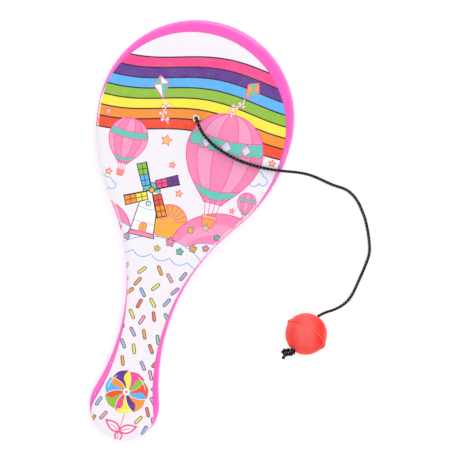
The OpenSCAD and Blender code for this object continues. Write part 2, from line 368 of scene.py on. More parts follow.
# behind the paddle it comes down through the face and is wound against the seat of the well
paddleKnot = {
    "wrapEnd": 6.3 * mm, "wrapStart": 4.2 * mm,
    "turns": 2.2, "first": 2.0,
    "tilt": Vector((0.2, 0.1, 0)) * mm,
    "tailWay": Vector((0.93, -0.35, 0.08)).normalized(),
}
backCore = smoothLine([Vector((0, 0, z)) * mm for z in (8.28, 7, 5.6, 4.2, 2.8, 1.4, 0.2)], 6)
backKnot, _ = braidedTube("paddleEndKnot", knotLine(backCore, paddleKnot),
                          knotRadius, cordLength, knotShape["step"])
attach(backKnot, "tether")
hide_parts("back_knot")

[tuple(p) for p in cordLine]
print("knots tied")


def newGroup(name, inputs, outputs):
    tree = bpy.data.node_groups.new(name, "ShaderNodeTree")
    for label, kind, value in inputs:
        socket = tree.interface.new_socket(name=label, in_out="INPUT", socket_type=kind)
        if value is not None:
            socket.default_value = value
    for label, kind in outputs:
        tree.interface.new_socket(name=label, in_out="OUTPUT", socket_type=kind)
    return tree, tree.nodes.new("NodeGroupInput"), tree.nodes.new("NodeGroupOutput")


def feed(tree, socket, value):
    if isinstance(value, bpy.types.NodeSocket):
        tree.links.new(value, socket)
    else:
        socket.default_value = value


def addNode(tree, kind, inputs=None, **settings):
    node = tree.nodes.new(kind)
    for key, value in settings.items():
        setattr(node, key, value)
    for key, value in (inputs or {}).items():
        feed(tree, node.inputs[key], value)
    return node


def mathOf(tree, operation, *values):
    return addNode(tree, "ShaderNodeMath", dict(enumerate(values)), operation=operation).outputs[0]


def ranged(tree, value, low, high, toLow=0.0, toHigh=1.0):
    node = addNode(tree, "ShaderNodeMapRange", {
        "Value": value, "From Min": low, "From Max": high, "To Min": toLow, "To Max": toHigh})
    return node.outputs["Result"]


def noiseOf(tree, place, scale, detail):
    node = addNode(tree, "ShaderNodeTexNoise", {"Vector": place, "Scale": scale, "Detail": detail})
    return node.outputs["Fac"]


def axisOf(tree, vector, axis):
    return addNode(tree, "ShaderNodeSeparateXYZ", {0: vector}).outputs[axis]


def storedValue(tree, name, output="Fac"):
    return addNode(tree, "ShaderNodeAttribute", attribute_name=name).outputs[output]


def mixColours(tree, factor, first, second):
    node = addNode(tree, "ShaderNodeMix", {0: factor, 6: first, 7: second}, data_type="RGBA")
    return node.outputs[2]


# shared effect: a slow drift from a colour to a second one
drift, driftIn, driftOut = newGroup(
    "colourDrift",
    [("Vector", "NodeSocketVector", None), ("Colour", "NodeSocketColor", (1, 1, 1, 1)),
     ("Second", "NodeSocketColor", (1, 1, 1, 1)), ("Scale", "NodeSocketFloat", 60.0),
     ("Amount", "NodeSocketFloat", 0.3)],
    [("Colour", "NodeSocketColor")])
slow = noiseOf(drift, driftIn.outputs["Vector"], driftIn.outputs["Scale"], 4.0)
share = mathOf(drift, "MULTIPLY", ranged(drift, slow, 0.35, 0.65), driftIn.outputs["Amount"])
feed(drift, driftOut.inputs["Colour"],
     mixColours(drift, share, driftIn.outputs["Colour"], driftIn.outputs["Second"]))

# shared effect: fine grain, as an uneven roughness and a height
grain, grainIn, grainOut = newGroup(
    "fineGrain",
    [("Vector", "NodeSocketVector", None), ("Scale", "NodeSocketFloat", 2000.0),
     ("Rough", "NodeSocketFloat", 0.4), ("Spread", "NodeSocketFloat", 0.1)],
    [("Roughness", "NodeSocketFloat"), ("Height", "NodeSocketFloat")])
fine = noiseOf(grain, grainIn.outputs["Vector"], grainIn.outputs["Scale"], 3.0)
uneven = mathOf(grain, "MULTIPLY", mathOf(grain, "SUBTRACT", fine, 0.5), grainIn.outputs["Spread"])
feed(grain, grainOut.inputs["Roughness"], mathOf(grain, "ADD", uneven, grainIn.outputs["Rough"]))
feed(grain, grainOut.inputs["Height"], fine)


def startMaterial(name):
    material = bpy.data.materials.new(name)
    material.use_nodes = True
    tree = material.node_tree
    return material, tree, addNode(tree, "ShaderNodeTexCoord").outputs["Object"]


def setConstants(shader, values):
    for key, value in values.items():
        shader.inputs[key].default_value = value


def wear(piece, material):
    piece.data.materials.clear()
    piece.data.materials.append(material)


def drifting(tree, place, colour, second, scaleAndAmount):
    scale, amount = scaleAndAmount
    return addNode(tree, "ShaderNodeGroup", {
        "Vector": place, "Colour": colour, "Second": second, "Scale": scale, "Amount": amount},
        node_tree=drift).outputs["Colour"]


def finish(piece, material, place, colour, look, height=None):
    # colour, grain, relief and the look's fixed values go into the shader, and the piece wears it
    tree = material.node_tree
    shader = tree.nodes["Principled BSDF"]
    tree.links.new(colour, shader.inputs["Base Color"])
    grained = addNode(tree, "ShaderNodeGroup", {
        "Vector": place, "Scale": look["grainScale"], "Rough": look["roughness"],
        "Spread": look["roughSpread"]}, node_tree=grain)
    tree.links.new(grained.outputs["Roughness"], shader.inputs["Roughness"])
    if height is None:
        height = grained.outputs["Height"]
    bump = addNode(tree, "ShaderNodeBump", {
        "Height": height, "Distance": look["bumpDepth"], "Strength": look["bumpStrength"]})
    tree.links.new(bump.outputs["Normal"], shader.inputs["Normal"])
    setConstants(shader, look["fixed"])
    wear(piece, material)


braidLook = {
    "gap": linear(1, 1, 2),
    "strand": linear(9, 9, 11),
    "crownHighlight": linear(186, 192, 184),
    "crownHighlightFrom": 0.72,      # how high on its strand the painted highlight starts to show
    "crownHighlightFull": 0.98,
    "crownHighlightShare": (0.255, 0.85),    # how much of it shows, least and most, by patches
    "patchScale": 700.0, "patchRange": (0.35, 0.6),
    "yarnScale": 24.0,      # yarns of a strand, across it
    "yarnWaver": 1.5,
    "roughness": 0.55, "roughSpread": 0.2, "grainScale": 5000.0,
    "bumpDepth": 0.03 * mm, "bumpStrength": 0.6,
    "fixed": {"Specular IOR Level": 0.15},
}

material, tree, place = startMaterial("braidedElastic")
strand = mixColours(tree, storedValue(tree, "strandHeight"), braidLook["gap"], braidLook["strand"])
patches = ranged(tree, noiseOf(tree, place, braidLook["patchScale"], 2.0),
                 *braidLook["patchRange"], *braidLook["crownHighlightShare"])
# a painted highlight on the crowns of alternate strands, in patches
crown = ranged(tree, storedValue(tree, "crownHighlight"), braidLook["crownHighlightFrom"], braidLook["crownHighlightFull"])
colour = mixColours(tree, mathOf(tree, "MULTIPLY", patches, crown), strand, braidLook["crownHighlight"])
yarns = addNode(tree, "ShaderNodeTexWave", {
    "Vector": addNode(tree, "ShaderNodeUVMap", uv_map="aroundAndAlong").outputs["UV"],
    "Scale": braidLook["yarnScale"], "Distortion": braidLook["yarnWaver"], "Detail": 2.0},
    bands_direction="X")
finish(freeCord, material, place, colour, braidLook, yarns.outputs["Fac"])
for piece in (endKnot, backKnot):
    wear(piece, material)
print("braid finished")


# the paddle is the moulding with its facets merged
paddleLook = {
    "pink": linear(255, 92, 198),
    "paler": linear(255, 102, 206),
    "drift": (25.0, 0.35),  # scale and amount
    "paintedEdgeHighlight": linear(255, 178, 234),
    "edgeHighlightShare": 0.17,      # how much of that painted highlight the head's rounded edge takes
    "edgeHighlightUpright": 0.72,    # how level the surface still is where it takes all of it
    "edgeHighlightFrom": -0.1,       # place along the handle where the painted highlight starts, and where it is full
    "edgeHighlightFull": -0.02,
    "roughness": 0.2, "roughSpread": 0.12, "grainScale": 900.0,
    "bumpDepth": 0.01 * mm, "bumpStrength": 0.5,
    "fixed": {"IOR": 1.49, "Subsurface Weight": 0.2, "Subsurface Scale": 0.002,
              "Sheen Weight": 0.45, "Sheen Roughness": 0.35, "Sheen Tint": linear(255, 226, 248)},
    "mergeWithin": 0.002 * mm,
    "flatWithin": math.radians(0.4),
    "smoothAngle": math.radians(32),
}

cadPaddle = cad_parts["paddle"]
paddle = cadPaddle.copy()
paddle.data = cadPaddle.data.copy()
paddle.name = paddle.data.name = "paddleMoulding"
for key in list(paddle.keys()):
    if key.startswith("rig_"):
        del paddle[key]
paddle.parent = None
bpy.context.collection.objects.link(paddle)
pickOnly(paddle)
bpy.ops.object.mode_set(mode="EDIT")
bpy.ops.mesh.select_all(action="SELECT")
bpy.ops.mesh.remove_doubles(threshold=paddleLook["mergeWithin"])
bpy.ops.mesh.customdata_custom_splitnormals_clear()
bpy.ops.mesh.dissolve_limited(angle_limit=paddleLook["flatWithin"])
bpy.ops.object.mode_set(mode="OBJECT")
print("paddle faces", len(paddle.data.polygons))
bpy.ops.object.shade_smooth_by_angle(angle=paddleLook["smoothAngle"])
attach(paddle, "paddle")
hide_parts("paddle")

material, tree, place = startMaterial("glossyPinkPlastic")
drifted = drifting(tree, place, paddleLook["pink"], paddleLook["paler"], paddleLook["drift"])
# painted highlight: where the head rounds off, its edge is tinted paler the more it tilts from
# level, for the light it catches there
facing = axisOf(tree, addNode(tree, "ShaderNodeTexCoord").outputs["Normal"], "Z")
upTheHead = ranged(tree, axisOf(tree, place, "Y"), paddleLook["edgeHighlightFrom"], paddleLook["edgeHighlightFull"],
                   0.0, paddleLook["edgeHighlightShare"])
edgeHighlight = ranged(tree, mathOf(tree, "ABSOLUTE", facing), 1.0, paddleLook["edgeHighlightUpright"],
              0.0, upTheHead)
# the paler tint mixed in here is a painted highlight on the head's rounded edge
colour = mixColours(tree, edgeHighlight, drifted, paddleLook["paintedEdgeHighlight"])
finish(paddle, material, place, colour, paddleLook)
print("paddle finished")


# the printed label is laid on the face and folded over the edge at the lower left
labelShape = {
    "headRadius": 52.4, "sideRadius": 84, "neckRadius": 105, "neckHalf": 12.2,
    "endRadius": 18.7, "reach": 175.6,          # the paddle's outline, in mm as all that follows
    "thick": 8, "edgeRadius": 3, "draft": 0.3,
    "inset": 2.15,      # how far inside that outline the label was cut
    "left": -0.08, "down": 5.1, "turn": math.radians(0.56),     # how it was laid on
    "lift": 0.28,       # of its face over the paddle's
    "punch": 0.98,      # radius of its hole
    "tornWide": 0.75, "torn": ((0.16, 3, 1), (0.1, 8, 0)),      # white edge round the hole, uneven
    "foldStep": 0.55, "foldRings": 15,          # rows of points where it bends
    "density": 12, "foldDensity": 8,            # points along the arcs of its cut and of those rows
}


def outlineLoop(shape, inward, density):
    # the paddle's outline drawn inward, and the places and turns of its arcs
    sideOff = shape["sideRadius"] - shape["headRadius"]
    neckX = shape["neckHalf"] + shape["neckRadius"]
    both = shape["neckRadius"] + shape["sideRadius"]
    neckY = math.sqrt(both ** 2 - (neckX + sideOff) ** 2)
    sideTurn = math.asin(neckY / both)
    endY = shape["reach"] - shape["endRadius"]
    gripLength = endY - neckY
    gripRadius = ((gripLength ** 2 + shape["neckHalf"] ** 2 - shape["endRadius"] ** 2)
                  / (2 * (shape["endRadius"] - shape["neckHalf"])))
    gripX = shape["neckHalf"] + gripRadius
    gripTurn = math.atan2(gripLength, gripX)
    arcs = [
        ((0, 0), shape["headRadius"] - inward, 0, math.pi, 10),
        ((sideOff, 0), shape["sideRadius"] - inward, math.pi, math.pi + sideTurn, 3),
        ((-neckX, -neckY), shape["neckRadius"] + inward, sideTurn, 0, 4),
        ((-gripX, -neckY), gripRadius + inward, 0, -gripTurn, 3),
        ((0, -endY), shape["endRadius"] - inward, math.pi - gripTurn, 2 * math.pi + gripTurn, 6),
        ((gripX, -neckY), gripRadius + inward, math.pi + gripTurn, math.pi, 3),
        ((neckX, -neckY), shape["neckRadius"] + inward, math.pi, math.pi - sideTurn, 4),
        ((-sideOff, 0), shape["sideRadius"] - inward, -sideTurn, 0, 3),
    ]
    loop = []
    for centre, radius, start, stop, share in arcs:
        steps = share * density
        for i in range(steps):
            loop.append(Vector(centre) + radius * unit(start + (stop - start) * i / steps))
    return loop, (sideOff, neckX, neckY, sideTurn, endY, gripRadius, gripX, gripTurn)


labelRim, outlineFacts = outlineLoop(labelShape, labelShape["inset"], labelShape["density"])


def nearestEdge(p):
    # how far inside the paddle's outline a point lies, and the way out to the edge
    sideOff, neckX, neckY, sideTurn, endY, gripRadius, gripX, gripTurn = outlineFacts
    q = Vector((abs(p.x), p.y))
    fromSide = q + Vector((sideOff, 0))
    fromNeck = q - Vector((neckX, -neckY))
    fromGrip = q - Vector((gripX, -neckY))
    fromEnd = q + Vector((0, endY))
    if q.y >= 0:
        inside, out = labelShape["headRadius"] - q.length, q
    elif math.atan2(-fromSide.y, fromSide.x) <= sideTurn:
        inside, out = labelShape["sideRadius"] - fromSide.length, fromSide
    elif q.y >= -neckY:
        inside, out = fromNeck.length - labelShape["neckRadius"], -fromNeck
    elif math.atan2(-fromGrip.y, -fromGrip.x) <= gripTurn:
        inside, out = fromGrip.length - gripRadius, -fromGrip
    else:
        inside, out = labelShape["endRadius"] - fromEnd.length, fromEnd
    out = out.normalized() if out.length > 1e-9 else Vector((1, 0))
    return inside, Vector((-out.x if p.x < 0 else out.x, out.y))


def laidDown(p, lift):
    # a point of the flat print, laid on the paddle a little low and askew and bent round its edge
    endY = outlineFacts[4]
    x, y = p.x, p.y + endY
    turn = labelShape["turn"]
    q = Vector((math.cos(turn) * x - math.sin(turn) * y - labelShape["left"],
                math.sin(turn) * x + math.cos(turn) * y - endY - labelShape["down"]))
    inside, out = nearestEdge(q)
    edge = labelShape["edgeRadius"]
    past = labelShape["draft"] + edge - inside
    if past <= 0:
        return Vector((q.x, q.y, labelShape["thick"] + lift)), 0.0
    bend = min(past / edge, math.pi / 2)
    drop = max(past - edge * math.pi / 2, 0)
    side = labelShape["thick"] - edge
    reach = (edge + lift) * math.sin(bend) + labelShape["draft"] * drop / side
    foot = q - past * out
    level = side + (edge + lift) * math.cos(bend) - drop
    return Vector((foot.x + reach * out.x, foot.y + reach * out.y, level)), bend


# the print is flat shapes in mm from the middle of the label's head, painted from the bottom up
inks = {
    "paper": (251, 245, 252), "ink": (34, 14, 20), "hotPink": (253, 70, 146),
    "purple": (97, 48, 148), "sky": (92, 184, 255), "green": (148, 198, 56),
    "yellow": (255, 242, 62), "orange": (255, 150, 42), "red": (252, 74, 42),
    "rose": (255, 137, 187), "petal": (255, 162, 202), "roseLine": (248, 78, 156),
    "teal": (98, 208, 192), "gold": (252, 178, 60), "goldPale": (255, 208, 96),
    "blueLine": (130, 184, 246), "pane": (172, 204, 255),
    "white": (255, 255, 255), "dashLine": (72, 52, 56),
    "coral": (250, 122, 100), "blush": (252, 172, 206), "lilac": (204, 172, 232),
    "haze": (166, 196, 244), "mint": (142, 216, 180), "lemon": (250, 236, 110),
    "apricot": (252, 174, 74),
}
inks = {name: linear(*value) for name, value in inks.items()}
stripeInks = ["hotPink", "purple", "sky", "green", "yellow", "orange", "red"]
printed = []      # loop, ink, the ink it fades to, and which way


def anticlockwise(loop):
    loop = [Vector(p) for p in loop]
    twiceArea = sum(a.cross(b) for a, b in zip(loop, loop[1:] + loop[:1]))
    return loop if twiceArea > 0 else loop[::-1]


def paint(loop, ink, fade=None, way=(1, 0)):
    printed.append((anticlockwise(loop), inks[ink], inks[fade] if fade else None,
                    Vector(way).normalized()))


def grown(loop, by):
    # the loop moved outwards all round
    loop = anticlockwise(loop)
    result = []
    for i, here in enumerate(loop):
        before = (here - loop[i - 1]).normalized()
        after = (loop[(i + 1) % len(loop)] - here).normalized()
        first, second = Vector((before.y, -before.x)), Vector((after.y, -after.x))
        middle = first + second
        if middle.length < 0.2:
            middle = second
        middle.normalize()
        result.append(here + by / max(middle.dot(second), 0.5) * middle)
    return result


def outlined(loop, ink, edge, width, fade=None, way=(1, 0)):
    paint(grown(loop, width / 2), edge)
    paint(grown(loop, -width / 2), ink, fade, way)


def stroke(points, width, ink):
    points = [Vector(p) for p in points]
    left, right = [], []
    last = len(points) - 1
    for i, here in enumerate(points):
        heading = points[min(i + 1, last)] - points[max(i - 1, 0)]
        side = Vector((-heading.y, heading.x)).normalized() * width / 2
        left.append(here + side)
        right.append(here - side)
    paint(left + right[::-1], ink)


def moved(points, at, scale=1.0, turn=0.0):
    c, s = math.cos(turn) * scale, math.sin(turn) * scale
    return [Vector((at[0] + c * x - s * y, at[1] + s * x + c * y)) for x, y in points]


def circle(at, radius, count=28, squash=1.0):
    return [Vector((at[0] + radius * math.cos(2 * math.pi * k / count),
                    at[1] + radius * squash * math.sin(2 * math.pi * k / count)))
            for k in range(count)]


def pill(at, length, width, turn):
    half, r = length / 2 - width / 2, width / 2
    ends = [(half + r * math.cos(a), r * math.sin(a)) for a in
            [math.pi * (k / 6 - 0.5) for k in range(7)]]
    return moved(ends + [(-x, -y) for x, y in ends], at, 1, turn)


def star(at, radius):
    loop = moved([((1 - k % 2 / 2) * math.cos(math.pi * k / 5),
                   (1 - k % 2 / 2) * math.sin(math.pi * k / 5)) for k in range(10)],
                 at, radius, 0.3)
    outlined(loop, "goldPale", "roseLine", 0.45)


def blossom(at, radius, ink):
    petals = []
    for a in [2 * math.pi * k / 60 for k in range(60)]:
        reach = 0.55 + 0.45 * abs(math.cos(2.5 * a))
        petals.append((reach * math.cos(a), reach * math.sin(a)))
    outlined(moved(petals, at, radius, 0.35), ink, "ink", 0.3)
    outlined(circle(at, radius * 0.26, 14), "yellow", "ink", 0.22)


def balloon(at, r, body, gore, panes=0, width=0.5):
    # its shapes are in shares of its radius
    half = [(0, 1), (0.34, 0.94), (0.64, 0.77), (0.87, 0.5), (0.985, 0.15), (0.97, -0.22),
            (0.82, -0.62), (0.56, -0.99), (0.33, -1.24), (0.24, -1.36)]
    right = smoothLine(half, 4)

    def squeezed(share):
        return moved([(share * p.x, p.y) for p in right]
                     + [(-share * p.x, p.y) for p in right[::-1][:-1]], at, r)

    def halfWidth(y):
        for a, b in zip(right, right[1:]):
            if b.y <= y <= a.y:
                return a.x + (b.x - a.x) * (a.y - y) / max(a.y - b.y, 1e-9)
        return half[-1][0]

    outlined(squeezed(1), body, "roseLine", width)
    for share, ink in ((0.7, gore), (0.28, body)):
        outlined(squeezed(share), ink, "roseLine", width * 0.8)
    # each band sags round the front of the envelope, and has a scalloped foot
    for top, deep, lobes in ((0.42, 0.3, 8), (-0.92, 0.2, 5)):
        upper, lower = [], []
        count = 48
        for k in range(count + 1):
            x = -1 + 2 * k / count
            sag = 0.12 * (1 - x * x)
            y = top - sag
            foot = y - deep - 0.06 * abs(math.sin(math.pi * lobes * (x + 1) / 2))
            upper.append((x * halfWidth(y) * 0.995, y))
            lower.append((x * halfWidth(foot) * 0.995, foot))
        outlined(moved(upper + lower[::-1], at, r), "teal", "roseLine", width)
    for k in range(panes):
        x = (k - (panes - 1) / 2) * 0.52
        y = 0.42 - 0.12 * (1 - x * x) - 0.17
        size = 0.125 if k != (panes - 1) / 2 else 0.14
        diamond = moved([(size, 0), (0, size * 1.25), (-size, 0), (0, -size * 1.25)],
                        (at[0] + x * r, at[1] + y * r), r)
        outlined(diamond, "pane", "roseLine", width, "white", (1, -1))
    # ropes and basket
    top, foot = at[1] - 1.36 * r, at[1] - 1.72 * r
    for x, to in ((-0.2, -0.13), (-0.07, -0.045), (0.07, 0.045), (0.2, 0.13)):
        stroke([(at[0] + x * r, top), (at[0] + to * r, foot)], width * 0.75, "roseLine")
    crate = moved([(-0.17, 0), (0.17, 0), (0.145, -0.24), (0.11, -0.27), (-0.11, -0.27),
                   (-0.145, -0.24)], (at[0], foot), r)
    outlined(crate, "gold", "roseLine", width)
    for x in (-0.085, 0, 0.085):
        stroke([(at[0] + x * r, foot - 0.05 * r), (at[0] + x * 0.85 * r, foot - 0.26 * r)],
             width * 0.6, "roseLine")
    outlined(moved([(-0.19, 0.03), (0.19, 0.03), (0.19, -0.04), (-0.19, -0.04)],
                   (at[0], foot), r), "goldPale", "roseLine", width * 0.8)


def kite(at, size, turn, second):
    # its shapes are in shares of its size
    corners = [(0, 1), (0.68, 0.25), (0, -1.05), (-0.68, 0.25)]
    outlined(moved(corners, at, size, turn), "teal", "roseLine", 0.45)
    paint(moved([(0, 0.93), (0.62, 0.25), (0, 0.25)], at, size, turn), second)
    paint(moved([(0, 0.25), (0, -0.97), (-0.62, 0.25)], at, size, turn), second)
    for a, b in (((0, 0.95), (0, -1.0)), ((-0.65, 0.25), (0.65, 0.25))):
        stroke(moved([a, b], at, size, turn), 0.28, "roseLine")
    tail = [(0.2 * math.sin(k * 0.5), -1.1 - 0.14 * k) for k in range(16)]
    stroke(smoothLine(moved(tail, at, size, turn), 4), 0.45, "white")
    for k in (4, 8, 12):
        for side in (-1, 1):
            x, y = tail[k]
            outlined(moved([(x, y), (x + side * 0.34, y + 0.19), (x + side * 0.34, y - 0.19)],
                           at, size, turn), "white", "roseLine", 0.3)


def pinwheel(at, radius, turn, swirl):
    blades = len(stripeInks)
    gap = 2 * math.pi / blades

    def spot(angle, reach):
        return Vector(at) + unit(angle + swirl * reach) * radius * reach

    for k, ink in enumerate(stripeInks):
        a = gap * k + turn
        front = [spot(a, t / 9) for t in range(1, 10)]
        rear = [spot(a + gap, 0.93 * t / 9) for t in range(1, 10)]
        brim = smoothLine([front[-1], spot(a + gap * 0.5, 1.0), rear[-1]], 4)[1:-1]
        paint([Vector(at)] + front + brim + rear[::-1], ink)
        # the folded corner of the blade shows another colour
        corner = smoothLine([front[-1], spot(a + gap * 0.5, 0.7), spot(a + gap * 0.62, 0.38),
                             Vector(at)], 5)[1:-1]
        paint([Vector(at)] + front + corner, stripeInks[(k + 3) % blades])
        stroke(front, 0.3, "white")
    for start in (0.4, 2.4, 4.5):
        stroke([spot(start + 0.1 * t - swirl, 0.86) for t in range(9)], 0.34, "white")
    paint(circle(at, radius * 0.16, 24), "white")
    paint(circle(at, radius * 0.07, 16), "rose")


def cloud(at, size):
    puffs = [(-0.95, 0, 0.5), (-0.35, 0.32, 0.62), (0.4, 0.26, 0.56), (1.0, -0.04, 0.46),
             (0.1, -0.18, 0.6)]
    for grow, ink in ((0.25, "blueLine"), (-0.25, "paper")):
        for x, y, r in puffs:
            paint(circle((at[0] + x * size, at[1] + y * size), r * size + grow, 26), ink)


mill = {
    "at": (-12.5, -62), "height": 24, "half": 6.48,
    "taper": 0.64,      # how much of that width the walls have at their top
    "courses": (0.3, 0.62), "window": 0.72,     # shares of its height
    "doorHalf": 1.9, "doorHigh": 5.2, "domeHigh": 4.6,
    "turn": 0.42, "sail": 15, "bars": (5.8, 8.8, 11.9),
}


def windmill():
    (x, y), height, w = mill["at"], mill["height"], mill["half"]
    walls = [(x - w, y), (x - w * mill["taper"], y + height), (x + w * mill["taper"], y + height),
             (x + w, y)]
    outlined(walls, "white", "ink", 0.45)
    for share in mill["courses"]:
        level = y + height * share
        wide = w * (1 - (1 - mill["taper"]) * share)
        stroke([(x - wide + 0.2, level), (x, level - 0.8), (x + wide - 0.2, level)],
             0.28, "blueLine")
    foot = [(x - w * 1.1, y - 0.4), (x + w * 1.1, y - 0.4), (x + w, y + 1.9), (x - w, y + 1.9)]
    outlined(foot, "rose", "ink", 0.4)
    r = mill["doorHalf"]
    door = [(x - r, y + 1.9), (x + r, y + 1.9)] + [
        (x + r * math.cos(a), y + mill["doorHigh"] + r * math.sin(a))
        for a in [math.pi * k / 10 for k in range(11)]]
    outlined(door, "gold", "roseLine", 0.4)
    stroke([(x, y + 2.1), (x, y + 6.8)], 0.28, "roseLine")
    dome = [(x - w * 0.78, y + height)] + [
        (x + w * 0.72 * math.cos(a), y + height + mill["domeHigh"] * math.sin(a))
        for a in [math.pi - math.pi * k / 14 for k in range(15)]] + [(x + w * 0.78, y + height)]
    outlined(dome, "teal", "ink", 0.45)
    outlined(circle((x, y + height * mill["window"]), 1.3, 20), "pane", "ink", 0.35,
             "white", (1, -1))
    hub, tip = (x, y + height + 0.6), mill["sail"]
    for k, (near, far) in enumerate((("hotPink", "purple"), ("sky", "green"),
                                     ("yellow", "orange"), ("red", "orange"))):
        a = mill["turn"] + k * math.pi / 2
        stroke(moved([(0, 0), (tip + 0.4, 0)], hub, 1, a), 0.65, "ink")
        outlined(moved([(2.8, 0.2), (tip, 0.2), (tip, 5.2), (2.8, 4.5)], hub, 1, a),
                 near, "ink", 0.48)
        paint(moved([(8.9, 0.45), (tip - 0.3, 0.45), (tip - 0.3, 4.9), (8.9, 4.6)], hub, 1, a),
              far)
        for s in mill["bars"]:
            stroke(moved([(s, 0.3), (s, 4.9)], hub, 1, a), 0.36, "ink")
        stroke(moved([(2.9, 2.5), (tip - 0.1, 2.7)], hub, 1, a), 0.36, "ink")
    outlined(circle(hub, 1.5, 18), "gold", "ink", 0.45)


# stripes in seven colours, waving across the top of the head
waves = {
    "top": 35.4, "band": 5.8, "half": 56, "steps": 80,
    "swing": 3.3, "length": 15.5, "shift": 0.9,
    "lag": 0.07,        # of each wave behind the one above it
    "fall": 0.05,       # to the left
    "gapLine": 0.72,
}


def waveAt(k):
    points = []
    for i in range(waves["steps"] + 1):
        x = -waves["half"] + 2 * waves["half"] / waves["steps"] * i
        swing = math.sin(x / waves["length"] + waves["shift"] + waves["lag"] * k)
        points.append((x, waves["top"] - waves["band"] * k + waves["fall"] * x
                       + waves["swing"] * swing))
    return points


for k, ink in enumerate(stripeInks):
    paint(waveAt(k) + waveAt(k + 1)[::-1], ink)
for k in range(len(stripeInks) + 1):
    stroke(waveAt(k), waves["gapLine"], "ink")

# a striped sun, pink hills, clouds, and the scalloped edge of the meadow
sunAt, sunRadius = (0.5, -52), 9.5
outlined(circle(sunAt, sunRadius, 48), "gold", "roseLine", 0.5)
for k in range(9):
    way = unit(0.25 + k * (math.pi - 0.5) / 8)
    stroke([Vector(sunAt) + way * sunRadius * share for share in (0.3, 0.98)], 0.42, "roseLine")
for at, r, squash in (((31, -66), 28, 0.9), ((-37, -64), 19, 0.86)):
    outlined(circle(at, r, 70, squash), "rose", "roseLine", 0.5)
    paint(circle((at[0], at[1] - 3.5), r * 0.9, 70, squash), "petal")
    paint(circle((at[0], at[1] - 7), r * 0.82, 70, squash), "rose")
cloud((38.5, -19), 5.2)
cloud((-38, -39.5), 4.4)
for at, r, squash in (((27, -79), 24, 0.88), ((-30, -77), 25, 0.8), ((0, -80), 27, 0.72)):
    outlined(circle(at, r, 60, squash), "paper", "blueLine", 0.5)
paint([(-60, -71), (60, -71), (60, -120), (-60, -120)], "paper")
scallop = {"from": -45, "length": 10, "count": 9, "level": -70.4, "deep": 2.6, "steps": 10}
meadowEdge = []
for k in range(scallop["count"]):
    for t in [i / scallop["steps"] for i in range(scallop["steps"])]:
        meadowEdge.append((scallop["from"] + scallop["length"] * (k + t),
                           scallop["level"] - scallop["deep"] * math.sin(math.pi * t)))
stroke(meadowEdge, 0.5, "blueLine")

balloon((20.5, -9), 20.5, "rose", "petal", panes=3)
balloon((-31, -13), 10.4, "petal", "rose", width=0.42)
balloon((38, -32), 5.0, "petal", "rose", width=0.36)
windmill()
kite((-20, 17), 6.2, 0.35, "white")
kite((27, 26), 5.6, -0.5, "gold")
for at, r in (((-11, -10), 3.0), ((-44.5, -2), 2.2), ((46.2, -9), 2.0), ((-37, -33), 1.9),
              ((2, -36), 2.0), ((-5, -22), 1.8), ((31.5, -38.5), 1.5)):
    star(at, r)
for x, y, r, ink in (
        (-25.5, -60.5, 2.4, "rose"), (-19.8, -64.2, 1.9, "lilac"), (3.5, -62, 2.5, "rose"),
        (9.5, -65.8, 2.0, "teal"), (16, -62.6, 2.2, "apricot"), (-2.5, -66.8, 1.7, "lemon"),
        (22.5, -61, 1.9, "rose"), (-31, -56.5, 1.8, "apricot"), (12.5, -53.5, 1.7, "lemon"),
        (20, -50.5, 1.6, "white"), (27, -54, 1.7, "teal")):
    blossom((x, y), r, ink)

# confetti down the handle, kept a little apart
confetti = {"length": 5.3, "width": 1.5, "apart": 6.1, "from": -76, "to": -164, "line": 0.42,
            "half": 30, "drops": 6000, "turns": (0.85, 1.35)}
dashes = ["coral", "blush", "lilac", "haze", "mint", "lemon", "apricot"]
wheel = {"at": (-0.6, -144.6), "radius": 11.6, "turn": 0.2, "swirl": 0.6,
         "clear": 3.4,                          # bare paper round it
         "stickHalf": 7, "stickFrom": -150}     # and round its stick and leaves
dropped = []
for _ in range(confetti["drops"]):
    spot = Vector((random.uniform(-confetti["half"], confetti["half"]),
                   random.uniform(confetti["to"], confetti["from"])))
    offWheel = (spot - Vector(wheel["at"])).length > wheel["radius"] + wheel["clear"]
    offStick = abs(spot.x) > wheel["stickHalf"] or spot.y > wheel["stickFrom"]
    if offWheel and offStick and all((spot - other).length > confetti["apart"]
                                     for other in dropped):
        dropped.append(spot)
for k, spot in enumerate(sorted(dropped, key=lambda p: -p.y)):
    turn = random.choice((1, -1)) * random.uniform(*confetti["turns"])
    outlined(pill(spot, confetti["length"], confetti["width"], turn),
             dashes[(k * 3 + k // 7) % len(dashes)], "dashLine", confetti["line"])

# a pinwheel on its stick near the end of the handle, with two leaves
stick = [(0.4, -150), (0.9, -158), (0.2, -166), (0.6, -173)]
stroke(smoothLine(stick, 6), 0.7, "petal")
for side in (-1, 1):
    root, tip = Vector((0.6, -165.6)), Vector((0.6 + side * 8.2, -161.4))
    across = Vector((-(tip - root).y, (tip - root).x)).normalized()
    swell = [(t / 14, 2.1 * math.sin(math.pi * (t / 14) ** 0.8)) for t in range(15)]
    leaf = ([root.lerp(tip, t) + w * across for t, w in swell]
            + [root.lerp(tip, t) - w * across for t, w in swell[-2:0:-1]])
    outlined(leaf, "white", "hotPink", 0.9)
    stroke([root.lerp(tip, 0.1), root.lerp(tip, 0.62)], 0.5, "hotPink")
    curl = [(0, -165.8), (1.9, -167.6), (1.3, -170), (2.6, -172.2)]
    stroke(smoothLine([(0.6 + side * x, y) for x, y in curl], 6), 0.85, "hotPink")
pinwheel(wheel["at"], wheel["radius"], wheel["turn"], wheel["swirl"])


def insideLoop(loop, x, y):
    # true when a line from the place crosses the loop an odd number of times
    hit = False
    for a, b in zip(loop, loop[-1:] + loop[:-1]):
        if (a.y > y) != (b.y > y) and x < (b.x - a.x) * (y - a.y) / (b.y - a.y) + a.x:
            hit = not hit
    return hit


